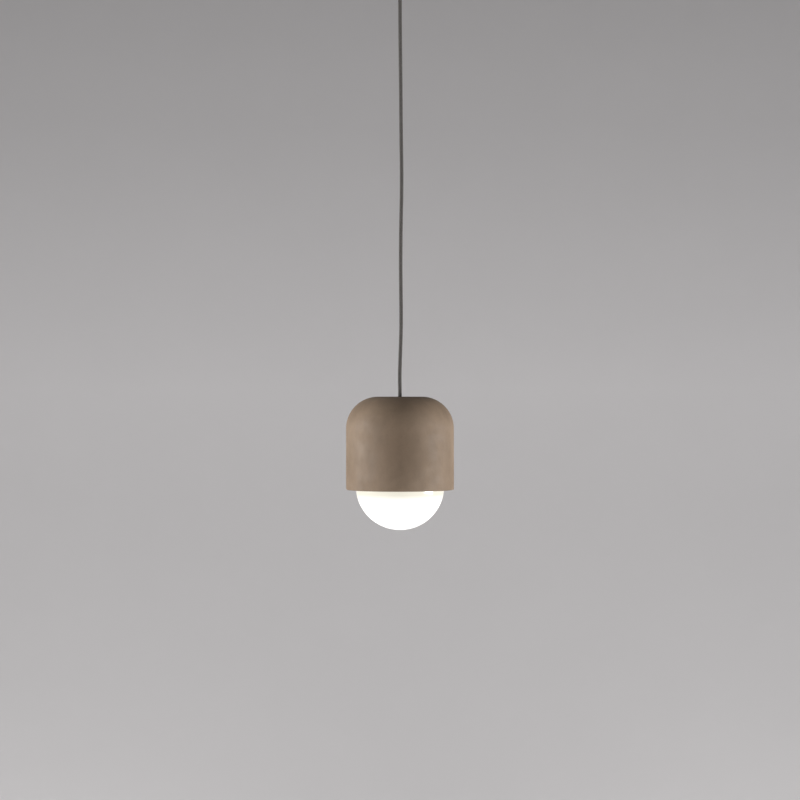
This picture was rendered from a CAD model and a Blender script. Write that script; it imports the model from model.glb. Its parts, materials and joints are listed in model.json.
import json
import math

import bpy
import numpy as np
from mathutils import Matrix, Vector, noise


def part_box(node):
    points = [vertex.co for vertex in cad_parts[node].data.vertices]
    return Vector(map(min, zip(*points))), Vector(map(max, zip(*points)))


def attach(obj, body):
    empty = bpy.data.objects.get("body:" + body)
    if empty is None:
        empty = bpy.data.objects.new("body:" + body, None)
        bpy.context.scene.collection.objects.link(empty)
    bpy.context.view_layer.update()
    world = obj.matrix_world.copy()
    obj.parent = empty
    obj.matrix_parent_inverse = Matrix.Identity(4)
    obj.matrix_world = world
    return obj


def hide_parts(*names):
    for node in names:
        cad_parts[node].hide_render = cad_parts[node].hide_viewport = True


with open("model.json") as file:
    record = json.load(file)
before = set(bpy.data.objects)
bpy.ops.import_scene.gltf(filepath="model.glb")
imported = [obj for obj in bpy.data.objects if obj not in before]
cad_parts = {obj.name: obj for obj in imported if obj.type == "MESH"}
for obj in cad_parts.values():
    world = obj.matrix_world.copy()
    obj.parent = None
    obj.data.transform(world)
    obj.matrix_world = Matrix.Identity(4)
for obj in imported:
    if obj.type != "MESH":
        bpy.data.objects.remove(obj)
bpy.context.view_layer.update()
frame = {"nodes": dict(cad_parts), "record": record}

# all sizes are in metres
MM = 0.001
FULL_TURN = 2 * math.pi

SHADE_LOW, SHADE_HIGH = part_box("shade")
GLOBE_LOW, GLOBE_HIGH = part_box("globe")
CUP_LOW, CUP_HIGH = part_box("canopy_cup")
GRIP_LOW, GRIP_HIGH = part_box("cord_grip")
TUBE_LOW, TUBE_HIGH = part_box("lamp_tube")
COVER_LOW, COVER_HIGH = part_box("lamp_cover")

# ---------------------------------------------------------------- camera

CAMERA_DISTANCE = 3.10
CAMERA_BELOW_SHADE_TOP = 4.7 * MM
LENS = 99.0
CLIP_START = 0.05
CLIP_END = 60

camera_data = bpy.data.cameras.new("camera")
camera_data.lens = LENS
camera_data.clip_start = CLIP_START
camera_data.clip_end = CLIP_END
camera = bpy.data.objects.new("camera", camera_data)
camera.location = (0, -CAMERA_DISTANCE, SHADE_HIGH.z - CAMERA_BELOW_SHADE_TOP)
camera.rotation_euler = (math.pi / 2, 0, 0)
bpy.context.scene.collection.objects.link(camera)
bpy.context.scene.camera = camera


# ---------------------------------------------------------------- mesh helpers


def mesh_object(name, points, faces, sharp_angle=35):
    """A smooth-shaded mesh object with its edges sharp where faces meet steeply."""
    mesh = bpy.data.meshes.new(name)
    mesh.from_pydata([tuple(p) for p in points], [], faces)
    mesh.validate()
    mesh.shade_smooth()
    mesh.set_sharp_from_angle(angle=math.radians(sharp_angle))
    made = bpy.data.objects.new(name, mesh)
    bpy.context.scene.collection.objects.link(made)
    return made


def grid_faces(rows, columns, closed):
    """Quads over rows of points that each run round once. closed joins the last row to the first."""
    faces = []
    for i in range(rows if closed else rows - 1):
        row = i * columns
        next_row = (i + 1) % rows * columns
        for j in range(columns):
            across = (j + 1) % columns
            faces.append((row + j, row + across, next_row + across, next_row + j))
    return faces


def arc(centre_r, centre_z, radius, start, end, steps):
    """Points (r, z) on an arc, its angles in degrees from the +r direction."""
    angles = np.radians(np.linspace(start, end, steps))
    return [(centre_r + radius * math.cos(a), centre_z + radius * math.sin(a)) for a in angles]


def straight(start, end, steps):
    """Points (r, z) along a straight line, without its end."""
    return [tuple(np.array(start) + (np.array(end) - np.array(start)) * k / steps) for k in range(steps)]


def turned(profile, around, shaped=None):
    """Points of a profile of (r, z) turned about the Z axis. shaped(r, angle, z) gives a new (r, z)."""
    points = []
    for r, z in profile:
        for j in range(around):
            angle = FULL_TURN * j / around
            new_r, new_z = shaped(r, angle, z) if shaped else (r, z)
            points.append((new_r * math.cos(angle), new_r * math.sin(angle), new_z))
    return points


def lathe(name, profile, around, shaped=None, sharp_angle=35):
    """A closed profile of (r, z) points turned about the Z axis into a solid piece."""
    points = turned(profile, around, shaped)
    return mesh_object(name, points, grid_faces(len(profile), around, closed=True), sharp_angle)


# ---------------------------------------------------------------- cord

# the same route as the CAD model's hanging cord, its top inside the cord grip
CORD_ROUTE = [
    (0.0, 0.0, -0.0345),
    (0.0, 0.0, -0.072),
    (0.0006, 0.0003, -0.128),
    (0.0012, -0.0003, -0.186),
    (0.0016, 0.0001, -0.244),
    (0.0026, 0.0004, -0.310),
    (0.0011, -0.0002, -0.378),
    (0.0009, 0.0002, -0.440),
    (0.0019, -0.0001, -0.508),
    (0.0001, 0.0001, -0.561),
    (-0.0005, 0.0, -0.585),
    (0.0, 0.0, -0.604),
    (0.0, 0.0, -0.6345),
]
CORD_D = 5.2 * MM
SPLINE_ORDER = 3
SPLINE_STEPS = 40
BRAID_CARRIERS = 8
BRAID_PITCH = 17 * MM
BRAID_RELIEF = 0.12 * MM
BRAID_STEP = 0.4 * MM
BRAID_AROUND = 48


def nurbs_line(route):
    """The smooth line of a NURBS spline that has the route's points as its control points."""
    curve = bpy.data.curves.new("route", "CURVE")
    curve.dimensions = "3D"
    curve.resolution_u = SPLINE_STEPS
    spline = curve.splines.new("NURBS")
    spline.points.add(len(route) - 1)
    for point, place in zip(spline.points, route):
        point.co = (*place, 1)
    spline.order_u = SPLINE_ORDER
    spline.use_endpoint_u = True
    holder = bpy.data.objects.new("route", curve)
    bpy.context.scene.collection.objects.link(holder)
    bpy.context.view_layer.update()
    line_mesh = bpy.data.meshes.new_from_object(holder)
    line = np.array([v.co[:] for v in line_mesh.vertices])
    bpy.data.objects.remove(holder)
    bpy.data.meshes.remove(line_mesh)
    return line


def evenly(line, step):
    """The same line as points a step apart, and how far along each one is."""
    along = np.concatenate([[0], np.cumsum(np.linalg.norm(np.diff(line, axis=0), axis=1))])
    wanted = np.linspace(0, along[-1], int(along[-1] / step) + 1)
    points = np.stack([np.interp(wanted, along, line[:, k]) for k in range(3)], axis=1)
    return points, wanted


def braid_height(angle, along):
    """Height, 0 to 1, of two families of yarns that cross over and under each other."""
    turns = angle / FULL_TURN
    lead = along / BRAID_PITCH
    right = (turns + lead) * BRAID_CARRIERS
    left = (turns - lead) * BRAID_CARRIERS
    right_ridge = 0.5 + 0.5 * np.cos(FULL_TURN * right)
    left_ridge = 0.5 + 0.5 * np.cos(FULL_TURN * left)
    right_over = 0.6 + 0.4 * np.cos(math.pi * (left + np.round(right)))
    left_over = 0.6 - 0.4 * np.cos(math.pi * (right + np.round(left)))
    return np.maximum(right_ridge * right_over, left_ridge * left_over)


def wrap_map(mesh, along):
    """A UV map that runs round the cord in u and along it in v, one braid pitch to the unit."""
    corner_points = np.zeros(len(mesh.loops), int)
    mesh.loops.foreach_get("vertex_index", corner_points)
    rows, columns = corner_points // BRAID_AROUND, corner_points % BRAID_AROUND
    places = np.stack([columns / BRAID_AROUND, along[rows] / BRAID_PITCH], axis=1)
    mesh.uv_layers.new(name="wrap").data.foreach_set("uv", places.ravel())


def braided_cord(name, route):
    """A tube of textile braid along the route's spline, and the line it follows."""
    line, along = evenly(nurbs_line(route), BRAID_STEP)
    tangent = np.gradient(line, axis=0)
    tangent /= np.linalg.norm(tangent, axis=1)[:, None]
    side = np.cross(tangent, (0.0, 1.0, 0.0))
    side /= np.linalg.norm(side, axis=1)[:, None]
    front = np.cross(tangent, side)
    angles = FULL_TURN * np.arange(BRAID_AROUND) / BRAID_AROUND
    height = braid_height(angles[None, :], along[:, None])
    radius = CORD_D / 2 - BRAID_RELIEF * (1 - height)
    ring = np.cos(angles)[None, :, None] * side[:, None] + np.sin(angles)[None, :, None] * front[:, None]
    points = (line[:, None] + radius[:, :, None] * ring).reshape(-1, 3)
    top_end = tuple(reversed(range(BRAID_AROUND)))
    low_end = tuple(range(len(points) - BRAID_AROUND, len(points)))
    faces = grid_faces(len(line), BRAID_AROUND, closed=False) + [top_end, low_end]
    made = mesh_object(name, points, faces, sharp_angle=80)
    wrap_map(made.data, along)
    return made, line


cord, cord_line = braided_cord("textile_cord", CORD_ROUTE)
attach(cord, "pendant")
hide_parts("hanging_cord")


# ---------------------------------------------------------------- shade

SHADE_R = (SHADE_HIGH.x - SHADE_LOW.x) / 2
SHADE_WALL = 7 * MM
SHADE_TOP_T = 8 * MM
SHOULDER_R = 45 * MM
RIM_EDGE_R = 1.6 * MM
SHADE_HOLE_R = 4.2 * MM
HOLE_EDGE_R = 0.6 * MM
POCKET_R = 10.5 * MM
POCKET_H = 3.5 * MM
HAND_WOBBLE = 0.16 * MM
HAND_WAVES = 22
FINE_RIPPLE = 0.05 * MM
FINE_WAVES = 120
FINE_SHIFT = Vector((7, 3, 1))


def hand_formed(r, angle, z):
    """The slight unevenness of formed clay: broad waves and a finer ripple, none at the cord hole."""
    place = Vector((r * math.cos(angle), r * math.sin(angle), z))
    settled = min(1.0, max(0.0, (r - POCKET_R) / (SHADE_R - POCKET_R)))
    broad = noise.noise(place * HAND_WAVES)
    fine = noise.noise(place * FINE_WAVES + FINE_SHIFT)
    lift = settled * (HAND_WOBBLE * broad + FINE_RIPPLE * fine)
    return r + lift * settled, z + lift * (1 - settled)


def shade_profile():
    """From the cord hole over the top and shoulder, down to the rim and back up inside."""
    top, rim = SHADE_HIGH.z, SHADE_LOW.z
    under = top - SHADE_TOP_T
    inside = SHADE_R - SHADE_WALL
    flat_end = SHADE_R - SHOULDER_R
    edge = RIM_EDGE_R
    return (
        arc(SHADE_HOLE_R + HOLE_EDGE_R, top - HOLE_EDGE_R, HOLE_EDGE_R, 180, 90, 5)
        + straight((SHADE_HOLE_R + 1.4 * MM, top), (flat_end, top), 16)
        + arc(flat_end, top - SHOULDER_R, SHOULDER_R, 90, 0, 56)
        + straight((SHADE_R, top - SHOULDER_R - 1.2 * MM), (SHADE_R, rim + edge), 60)
        + arc(SHADE_R - edge, rim + edge, edge, 0, -90, 7)
        + arc(inside + edge, rim + edge, edge, -90, -180, 7)
        + straight((inside, rim + edge + MM), (inside, top - SHOULDER_R), 30)
        + arc(flat_end, top - SHOULDER_R - MM, SHOULDER_R - SHADE_WALL, 0, 90, 30)
        + straight((flat_end - 2 * MM, under), (POCKET_R, under), 8)
        + [(POCKET_R, under), (POCKET_R, under + POCKET_H), (SHADE_HOLE_R, under + POCKET_H)]
    )


shade = lathe("stoneware_shade", shade_profile(), 360, shaped=hand_formed)
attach(shade, "pendant")
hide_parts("shade")


# ---------------------------------------------------------------- globe

GLOBE_R = (GLOBE_HIGH.x - GLOBE_LOW.x) / 2
GLOBE_CENTRE = GLOBE_LOW.z + GLOBE_R
GLASS_T = 2.5 * MM
NECK_R = 30 * MM
LIP_R = 32.5 * MM
LIP_T = 4 * MM
LIP_LOW_EDGE_R = 1.3 * MM
LIP_TOP_EDGE_R = 1.6 * MM
NECK_FILLET = 3 * MM
GLOBE_POLE = -89.9


def globe_profile():
    """From the bottom of the ball up its outside, over the neck's lip and back down inside."""
    neck_top = GLOBE_HIGH.z
    neck_angle = math.degrees(math.acos((NECK_R + 2 * MM) / GLOBE_R))
    neck_foot = GLOBE_CENTRE + math.sqrt(GLOBE_R**2 - NECK_R**2)
    inner_r = GLOBE_R - GLASS_T
    inner_neck = NECK_R - GLASS_T
    inner_angle = math.degrees(math.acos(inner_neck / inner_r))
    lip_low = neck_top - LIP_T
    return (
        arc(0, GLOBE_CENTRE, GLOBE_R, GLOBE_POLE, neck_angle, 110)
        + arc(NECK_R + NECK_FILLET, neck_foot + 0.75 * NECK_FILLET, NECK_FILLET, 215, 180, 6)
        + straight((NECK_R, neck_foot + NECK_FILLET), (NECK_R, lip_low - MM), 5)
        + arc(LIP_R - LIP_LOW_EDGE_R, lip_low + LIP_LOW_EDGE_R, LIP_LOW_EDGE_R, -90, 0, 6)
        + arc(LIP_R - LIP_TOP_EDGE_R, neck_top - LIP_TOP_EDGE_R, LIP_TOP_EDGE_R, 0, 90, 6)
        + arc(inner_neck + MM, neck_top - MM, MM, 90, 180, 5)
        + straight((inner_neck, neck_top - 2 * MM), (inner_neck, neck_foot - 2 * MM), 6)
        + arc(0, GLOBE_CENTRE, inner_r, inner_angle, GLOBE_POLE, 90)
    )


globe = lathe("opal_globe", globe_profile(), 160, sharp_angle=60)
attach(globe, "globe")
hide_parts("globe")

# ---------------------------------------------------------------- canopy cup and cord grip

CUP_R = 50 * MM
CUP_WALL = 1.5 * MM
CUP_EDGE_R = 6 * MM
GRIP_HOLE_R = 5.05 * MM


def cup_profile():
    """From the grip's hole out under the cup, up its side and back down inside."""
    top, low = CUP_HIGH.z, CUP_LOW.z
    inside = CUP_R - CUP_WALL
    lip = CUP_WALL / 2
    return (
        straight((GRIP_HOLE_R, low), (CUP_R - CUP_EDGE_R, low), 10)
        + arc(CUP_R - CUP_EDGE_R, low + CUP_EDGE_R, CUP_EDGE_R, -90, 0, 16)
        + straight((CUP_R, low + CUP_EDGE_R + MM), (CUP_R, top - lip), 8)
        + arc(CUP_R - lip, top - lip, lip, 0, 180, 9)
        + straight((inside, top - 2 * MM), (inside, low + CUP_EDGE_R), 6)
        + arc(inside - CUP_EDGE_R + CUP_WALL, low + CUP_EDGE_R, CUP_EDGE_R - CUP_WALL, 0, -90, 10)
        + [(GRIP_HOLE_R, low + CUP_WALL)]
    )


cup = lathe("canopy_shell", cup_profile(), 160)
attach(cup, "canopy")
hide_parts("canopy_cup")

FLUTES = 18
FLUTE_DEPTH = 0.35 * MM
GRIP_HEAD_R = 8 * MM
GRIP_STEM_R = 5 * MM
GRIP_BORE_R = 2.65 * MM
GRIP_MOUTH_R = 3.2 * MM
GRIP_HEAD_EDGE = 0.6 * MM
GRIP_STEM_EDGE = 0.5 * MM


def fluted(r, angle, z):
    """Finger flutes round the head of the cord grip."""
    if r < GRIP_HEAD_R - 0.1 * MM:
        return r, z
    return r - FLUTE_DEPTH * (0.5 - 0.5 * math.cos(FLUTES * angle)), z


def grip_profile():
    """From the bore round the flared mouth, up the head and the stem to the top of the bore."""
    mouth, top = GRIP_LOW.z, GRIP_HIGH.z
    under_cup = CUP_LOW.z
    return (
        arc(GRIP_BORE_R + GRIP_MOUTH_R, mouth + GRIP_MOUTH_R, GRIP_MOUTH_R, 180, 262, 14)
        + arc(GRIP_HEAD_R - GRIP_MOUTH_R, mouth + 3.6 * MM, GRIP_MOUTH_R, -60, 0, 8)
        + straight((GRIP_HEAD_R, mouth + 4 * MM), (GRIP_HEAD_R, under_cup - 0.8 * MM), 8)
        + [(GRIP_HEAD_R - GRIP_HEAD_EDGE, under_cup), (GRIP_STEM_R, under_cup)]
        + [(GRIP_STEM_R, top - GRIP_STEM_EDGE), (GRIP_STEM_R - GRIP_STEM_EDGE, top)]
        + [(GRIP_BORE_R, top)]
    )


grip = lathe("cord_grip_body", grip_profile(), 144, shaped=fluted)
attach(grip, "canopy")
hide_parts("cord_grip")

# ---------------------------------------------------------------- lamp tube and lamp

THREAD_PITCH = 1 * MM
THREAD_DEPTH = 0.45 * MM
TUBE_R = 5 * MM
TUBE_BORE_R = 3.4 * MM
TUBE_END_EDGE = 0.3 * MM
THREAD_FADE = 0.8 * MM


def threaded(r, angle, z):
    """A fine helical thread on the outside of the tube, fading out at both ends."""
    if r < TUBE_R - 0.1 * MM:
        return r, z
    phase = (z / THREAD_PITCH + angle / FULL_TURN) % 1
    from_end = min(z - TUBE_LOW.z, TUBE_HIGH.z - z)
    return r - THREAD_DEPTH * abs(2 * phase - 1) * min(1, max(0, from_end / THREAD_FADE)), z


def tube_profile():
    """Up the outside in steps fine enough for the thread, then down the bore."""
    return (
        straight((TUBE_R, TUBE_LOW.z), (TUBE_R, TUBE_HIGH.z), 300)
        + [(TUBE_R - TUBE_END_EDGE, TUBE_HIGH.z)]
        + straight((TUBE_BORE_R, TUBE_HIGH.z), (TUBE_BORE_R, TUBE_LOW.z), 4)
        + [(TUBE_BORE_R, TUBE_LOW.z)]
    )


lamp_tube = lathe("threaded_lamp_tube", tube_profile(), 40, shaped=threaded, sharp_angle=70)
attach(lamp_tube, "pendant")
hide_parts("lamp_tube")

COVER_R = (COVER_HIGH.x - COVER_LOW.x) / 2
COVER_T = 1 * MM
COVER_POLE = -89.5


def cover_profile():
    """From the bottom of the dome up its outside, over the open end and back down inside."""
    top, low = COVER_HIGH.z, COVER_LOW.z
    inside = COVER_R - COVER_T
    return (
        arc(0, low + COVER_R, COVER_R, COVER_POLE, 0, 24)
        + straight((COVER_R, low + COVER_R + MM), (COVER_R, top), 12)
        + [(COVER_R, top), (inside, top)]
        + straight((inside, top - MM), (inside, low + COVER_R), 8)
        + arc(0, low + COVER_R, inside, 0, COVER_POLE, 18)
    )


cover = lathe("lamp_cover_dome", cover_profile(), 64)
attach(cover, "lamp")
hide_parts("lamp_cover")


# ---------------------------------------------------------------- materials


NOISE_ROUGHNESS = 0.55
# a Mix node has sockets of one name for each data type: these are its factor and its colours
MIX_COLOUR_INPUTS = (0, 6, 7)
MIX_COLOUR_OUTPUT = 2


class Material:
    """A node material, with short ways to add the textures it is made of."""

    def __init__(self, name, roughness=0.5, metallic=0.0, specular=0.5):
        self.made = bpy.data.materials.new(name)
        self.made.use_nodes = True
        self.tree = self.made.node_tree
        self.shader = self.tree.nodes["Principled BSDF"]
        self.shader.inputs["Roughness"].default_value = roughness
        self.shader.inputs["Metallic"].default_value = metallic
        self.shader.inputs["Specular IOR Level"].default_value = specular
        self.coordinates = self.tree.nodes.new("ShaderNodeTexCoord")

    def link(self, output, node, socket):
        self.tree.links.new(output, node.inputs[socket])

    def place(self, scale=(1, 1, 1), uv=None):
        """Object coordinates, or a UV map's, stretched by scale."""
        mapping = self.tree.nodes.new("ShaderNodeMapping")
        mapping.inputs["Scale"].default_value = scale
        source = self.coordinates.outputs["Object"]
        if uv:
            uv_map = self.tree.nodes.new("ShaderNodeUVMap")
            uv_map.uv_map = uv
            source = uv_map.outputs["UV"]
        self.link(source, mapping, "Vector")
        return mapping.outputs["Vector"]

    def noise(self, scale, detail=5, stretch=(1, 1, 1), uv=None, distortion=0.0):
        """Cloudy noise, 0 to 1, with scale features to the metre."""
        texture = self.tree.nodes.new("ShaderNodeTexNoise")
        texture.inputs["Scale"].default_value = scale
        texture.inputs["Detail"].default_value = detail
        texture.inputs["Roughness"].default_value = NOISE_ROUGHNESS
        texture.inputs["Distortion"].default_value = distortion
        self.link(self.place(stretch, uv), texture, "Vector")
        return texture.outputs["Fac"]

    def cells(self, scale):
        """How far each place is from the nearest of many scattered points."""
        texture = self.tree.nodes.new("ShaderNodeTexVoronoi")
        texture.inputs["Scale"].default_value = scale
        self.link(self.place(), texture, "Vector")
        return texture.outputs["Distance"]

    def height(self, low, high):
        """0 to 1 as z goes from low to high."""
        split = self.tree.nodes.new("ShaderNodeSeparateXYZ")
        self.link(self.coordinates.outputs["Object"], split, "Vector")
        span = self.tree.nodes.new("ShaderNodeMapRange")
        span.inputs["From Min"].default_value = low
        span.inputs["From Max"].default_value = high
        self.link(split.outputs["Z"], span, "Value")
        return span.outputs["Result"]

    def ramp(self, factor, *stops):
        """Colours or grey values blended between positions."""
        node = self.tree.nodes.new("ShaderNodeValToRGB")
        elements = node.color_ramp.elements
        while len(elements) < len(stops):
            elements.new(0.5)
        for element, (position, value) in zip(elements, stops):
            element.position = position
            colour = value if isinstance(value, tuple) else (value, value, value)
            element.color = (*colour, 1)
        self.link(factor, node, "Fac")
        return node.outputs["Color"]

    def shaded(self, first, second, amount=1.0):
        """The first colour multiplied by the second, by some amount."""
        node = self.tree.nodes.new("ShaderNodeMix")
        node.data_type = "RGBA"
        node.blend_type = "MULTIPLY"
        factor, first_input, second_input = (node.inputs[k] for k in MIX_COLOUR_INPUTS)
        factor.default_value = amount
        self.tree.links.new(first, first_input)
        self.tree.links.new(second, second_input)
        return node.outputs[MIX_COLOUR_OUTPUT]

    def colour(self, output):
        self.link(output, self.shader, "Base Color")

    def rough(self, output):
        self.link(output, self.shader, "Roughness")

    def bump(self, *layers):
        """Stack bump layers, each (height output, strength, distance in metres)."""
        below = None
        for height, strength, distance in layers:
            node = self.tree.nodes.new("ShaderNodeBump")
            node.inputs["Strength"].default_value = strength
            node.inputs["Distance"].default_value = distance
            self.link(height, node, "Height")
            if below:
                self.link(below, node, "Normal")
            below = node.outputs["Normal"]
        self.link(below, self.shader, "Normal")


def stoneware():
    """Matte taupe stoneware: cloudy colour, faint speckle, fine grain and a few pin holes."""
    m = Material("stoneware", roughness=0.62, specular=0.35)
    clouds = m.ramp(
        m.noise(14, detail=6, distortion=0.4),
        (0.30, (0.236, 0.171, 0.117)),
        (0.52, (0.275, 0.202, 0.140)),
        (0.74, (0.324, 0.243, 0.173)),
    )
    drift = m.ramp(m.noise(45, detail=4, stretch=(1, 1, 0.5)), (0.3, 0.90), (0.7, 1.06))
    speckle = m.ramp(m.noise(900, detail=2), (0.60, 1.0), (0.72, 0.72))
    m.colour(m.shaded(m.shaded(clouds, drift), speckle, 0.55))
    m.rough(m.ramp(m.noise(70, detail=5), (0.3, 0.54), (0.7, 0.74)))
    pin_holes = m.ramp(m.cells(260), (0.02, 0.0), (0.09, 1.0))
    m.bump(
        (pin_holes, 0.35, 0.25 * MM),
        (m.noise(320, detail=6), 0.25, 0.25 * MM),
        (m.noise(1600, detail=3), 0.20, 0.08 * MM),
    )
    return m.made


def opal_glass():
    """Lit opal glass: white, warmer where it runs up into the shade, with a smooth gloss."""
    m = Material("opal_glass", roughness=0.16, specular=0.5)
    height = m.height(GLOBE_LOW.z, GLOBE_HIGH.z)
    glow = m.ramp(
        height,
        (0.0, (1.0, 1.0, 0.99)),
        (0.30, (0.95, 0.94, 0.90)),
        (0.39, (0.68, 0.66, 0.57)),
        (1.0, (0.66, 0.64, 0.56)),
    )
    body = m.ramp(
        height,
        (0.0, (0.80, 0.79, 0.77)),
        (0.28, (0.70, 0.69, 0.65)),
        (0.39, (0.32, 0.30, 0.26)),
        (1.0, (0.42, 0.40, 0.35)),
    )
    clouds = m.ramp(m.noise(30, detail=3), (0.3, 0.94), (0.7, 1.0))
    m.colour(m.shaded(body, clouds))
    m.link(glow, m.shader, "Emission Color")
    m.shader.inputs["Emission Strength"].default_value = 1.0
    m.shader.inputs["Coat Weight"].default_value = 0.3
    m.shader.inputs["Coat Roughness"].default_value = 0.05
    m.bump((m.noise(60, detail=2), 0.08, 0.2 * MM))
    return m.made


def textile():
    """Grey braided yarn: light and dark yarns, with fine fibres along them."""
    m = Material("textile_cord", roughness=0.95, specular=0.05)
    fibres = m.noise(60, detail=4, stretch=(8, 3, 1), uv="wrap")
    yarns = m.ramp(
        m.noise(900, detail=2),
        (0.35, (0.100, 0.095, 0.090)),
        (0.65, (0.188, 0.179, 0.170)),
    )
    m.colour(m.shaded(yarns, m.ramp(fibres, (0.3, 0.55), (0.7, 1.0)), 0.5))
    m.bump((fibres, 0.5, 0.1 * MM), (m.noise(2500, detail=2), 0.3, 0.05 * MM))
    return m.made


def powder_coat():
    """Taupe powder coat with its fine orange-peel grain."""
    m = Material("painted_steel", roughness=0.55, specular=0.4)
    m.colour(m.ramp(m.noise(25, detail=4), (0.3, (0.205, 0.160, 0.122)), (0.7, (0.235, 0.186, 0.144))))
    m.rough(m.ramp(m.noise(140, detail=4), (0.3, 0.48), (0.7, 0.64)))
    m.bump((m.noise(1400, detail=2), 0.3, 0.12 * MM))
    return m.made


def metal(name, dark, light, roughness, stretch):
    """Bare metal: two tones, fine drawn or rolled lines and patches of duller surface."""
    m = Material(name, roughness=roughness, metallic=1.0)
    m.colour(m.ramp(m.noise(90, detail=4), (0.3, dark), (0.7, light)))
    m.rough(m.ramp(m.noise(160, detail=5), (0.3, roughness - 0.09), (0.7, roughness + 0.12)))
    m.bump((m.noise(300, detail=4, stretch=stretch), 0.18, 0.05 * MM))
    return m.made


LAMP_GLOW = (1.0, 0.92, 0.80, 1)


def moulded(name, dark, light, roughness, grain=900, depth=0.2, glow=0.0):
    """Moulded plastic or rubber with a slight tone change and a spark-eroded grain."""
    m = Material(name, roughness=roughness, specular=0.45)
    m.colour(m.ramp(m.noise(60, detail=3), (0.3, dark), (0.7, light)))
    m.rough(m.ramp(m.noise(220, detail=4), (0.3, roughness - 0.07), (0.7, roughness + 0.08)))
    m.bump((m.noise(grain, detail=3), depth, 0.08 * MM))
    if glow:
        m.shader.inputs["Emission Color"].default_value = LAMP_GLOW
        m.shader.inputs["Emission Strength"].default_value = glow
    return m.made


def porcelain():
    """Glazed lampholder porcelain with faint specks under the glaze."""
    m = Material("porcelain", roughness=0.18, specular=0.6)
    specks = m.ramp(m.noise(700, detail=2), (0.66, (0.82, 0.80, 0.75)), (0.74, (0.60, 0.56, 0.50)))
    clouds = m.ramp(m.noise(50, detail=3), (0.3, 0.93), (0.7, 1.0))
    m.colour(m.shaded(specks, clouds))
    m.shader.inputs["Coat Weight"].default_value = 0.4
    m.bump((m.noise(120, detail=3), 0.12, 0.15 * MM))
    return m.made


MATERIALS = {
    "stoneware": stoneware(),
    "opal_glass": opal_glass(),
    "textile_cord": textile(),
    "painted_steel": powder_coat(),
    "zinc_steel": metal("zinc_steel", (0.46, 0.47, 0.48), (0.60, 0.60, 0.60), 0.36, (1, 6, 1)),
    "spring_steel": metal("spring_steel", (0.40, 0.41, 0.43), (0.52, 0.53, 0.55), 0.28, (1, 1, 8)),
    "brass": metal("brass", (0.55, 0.40, 0.16), (0.70, 0.52, 0.24), 0.30, (1, 1, 4)),
    "tinned_lugs": metal("tinned_lugs", (0.62, 0.62, 0.62), (0.74, 0.74, 0.73), 0.34, (1, 1, 1)),
    "black_nylon": moulded("black_nylon", (0.018, 0.018, 0.018), (0.030, 0.030, 0.030), 0.50),
    "white_plastic": moulded("white_plastic", (0.66, 0.66, 0.63), (0.76, 0.76, 0.73), 0.42),
    "live_core": moulded("live_core", (0.070, 0.030, 0.014), (0.105, 0.048, 0.022), 0.40),
    "neutral_core": moulded("neutral_core", (0.014, 0.050, 0.220), (0.022, 0.075, 0.300), 0.40),
    "earth_core": moulded("earth_core", (0.120, 0.260, 0.020), (0.420, 0.480, 0.030), 0.40, grain=500),
    "dark_rubber": moulded("dark_rubber", (0.016, 0.016, 0.016), (0.028, 0.028, 0.027), 0.78, depth=0.35),
    "silicone": moulded("silicone", (0.58, 0.58, 0.55), (0.68, 0.68, 0.65), 0.48),
    "porcelain": porcelain(),
    "lamp_cover": moulded("lamp_cover", (0.86, 0.85, 0.80), (0.92, 0.91, 0.87), 0.35, glow=2.0),
    "light_board": moulded("light_board", (0.60, 0.62, 0.56), (0.72, 0.73, 0.68), 0.38, grain=400),
}

slot_of = {part["node"]: part["material_slot"] for part in frame["record"]["subparts"]}
for node_name, node in frame["nodes"].items():
    node.data.materials.clear()
    node.data.materials.append(MATERIALS[slot_of[node_name]])

PIECE_SLOTS = {
    cord: "textile_cord",
    shade: "stoneware",
    globe: "opal_glass",
    cup: "painted_steel",
    grip: "black_nylon",
    lamp_tube: "zinc_steel",
    cover: "lamp_cover",
}
for piece, slot in PIECE_SLOTS.items():
    piece.data.materials.append(MATERIALS[slot])

# ---------------------------------------------------------------- stage

STAGE_FLOOR = -2.3
STAGE_FLAT_R = 3.0
STAGE_BEND_R = 3.0
STAGE_TOP = 3.5
STAGE_AROUND = 96
PAPER_SHADED_TO = 1.3


def stage_profile():
    """A pale bowl: a flat floor that bends up into a wall all round."""
    return (
        [(0.05, STAGE_FLOOR)]
        + straight((0.5, STAGE_FLOOR), (STAGE_FLAT_R, STAGE_FLOOR), 6)
        + arc(STAGE_FLAT_R, STAGE_FLOOR + STAGE_BEND_R, STAGE_BEND_R, -90, 0, 24)
        + [(STAGE_FLAT_R + STAGE_BEND_R, STAGE_TOP)]
    )


def backdrop_paper():
    """Pale grey paper, faintly clouded, a little darker at the foot and towards the top."""
    m = Material("backdrop_paper", roughness=0.95, specular=0.1)
    clouds = m.ramp(m.noise(3, detail=3), (0.3, (0.826, 0.816, 0.822)), (0.7, (0.836, 0.826, 0.832)))
    graded = m.ramp(
        m.height(STAGE_FLOOR, PAPER_SHADED_TO),
        (0.0, 0.84),
        (0.36, 0.91),
        (0.48, 0.97),
        (0.64, 0.88),
        (0.78, 0.78),
        (1.0, 0.72),
    )
    m.colour(m.shaded(clouds, graded))
    return m.made


centre = tuple(range(STAGE_AROUND))
bowl = grid_faces(len(stage_profile()), STAGE_AROUND, closed=False)
backdrop = mesh_object("backdrop", turned(stage_profile(), STAGE_AROUND), bowl + [centre])
backdrop.data.materials.append(backdrop_paper())

# ---------------------------------------------------------------- lights

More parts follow.
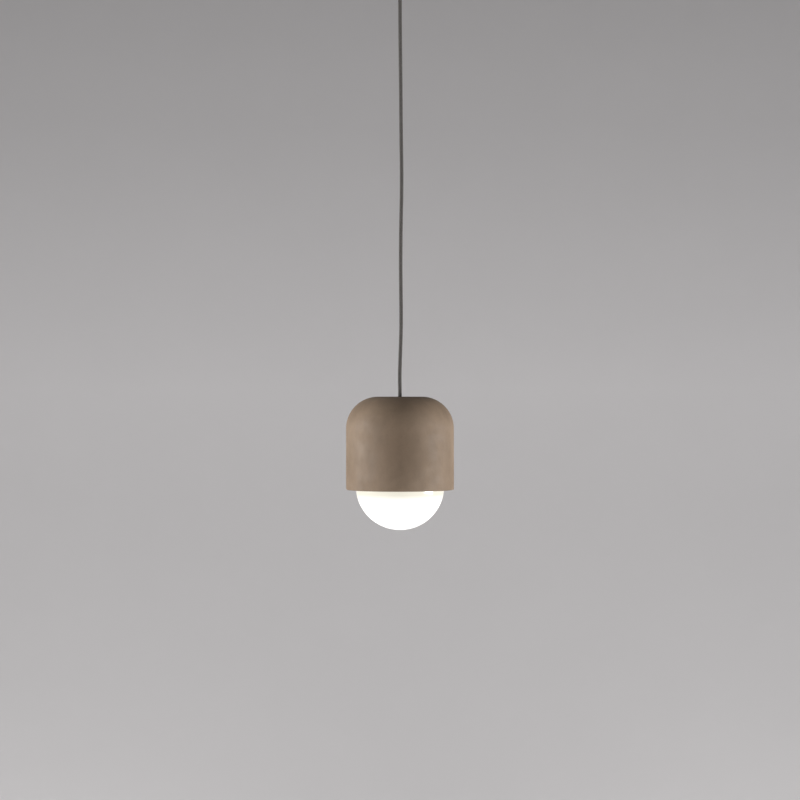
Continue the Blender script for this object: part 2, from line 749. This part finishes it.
LIGHT_COLOUR = (1.0, 0.985, 0.975)
SHADE_MIDDLE = Vector((0, 0, (SHADE_LOW.z + SHADE_HIGH.z) / 2))
SIDE_SIZE = (1.3, 1.0)
LEFT_PLACE = (-2.6, -0.45, -0.68)
LEFT_POWER = 69
RIGHT_PLACE = (2.6, -0.45, -0.97)
RIGHT_POWER = 68

WASH_SIZE = (1.2, 1.2)
WASH_OUT = 2.8
WASH_Z = -1.1
WASH_TILT = Vector((0, 0, -0.1))
WASH_BACK_POWER = 17.5
WASH_FRONT_POWER = 22
WASH_BEARINGS = (69, 111, 225, 315)

SKY_COLOUR = (0.97, 0.98, 1.0, 1)
SKY_STRENGTH = 0.12


def softbox(name, place, target, size, power):
    """A soft rectangular light aimed at a target, unseen by the camera."""
    data = bpy.data.lights.new(name, "AREA")
    data.shape = "RECTANGLE"
    data.size, data.size_y = size
    data.energy = power
    data.color = LIGHT_COLOUR
    light = bpy.data.objects.new(name, data)
    light.location = place
    aim = target - Vector(place)
    light.rotation_euler = aim.to_track_quat("-Z", "Y").to_euler()
    light.visible_camera = False
    bpy.context.scene.collection.objects.link(light)


def wall_wash(degrees):
    """A light that faces outwards and brightens the backdrop at a bearing."""
    bearing = math.radians(degrees)
    outward = Vector((math.cos(bearing), math.sin(bearing), 0))
    place = outward * WASH_OUT + Vector((0, 0, WASH_Z))
    power = WASH_BACK_POWER if outward.y > 0 else WASH_FRONT_POWER
    softbox(f"wall_wash_{degrees}", place, place + outward + WASH_TILT, WASH_SIZE, power)


softbox("left_softbox", LEFT_PLACE, SHADE_MIDDLE, SIDE_SIZE, LEFT_POWER)
softbox("right_softbox", RIGHT_PLACE, SHADE_MIDDLE, SIDE_SIZE, RIGHT_POWER)
for degrees in WASH_BEARINGS:
    wall_wash(degrees)

world = bpy.data.worlds.new("world")
world.use_nodes = True
world.node_tree.nodes["Background"].inputs["Color"].default_value = SKY_COLOUR
world.node_tree.nodes["Background"].inputs["Strength"].default_value = SKY_STRENGTH
bpy.context.scene.world = world
bpy.context.scene.view_settings.view_transform = "Standard"
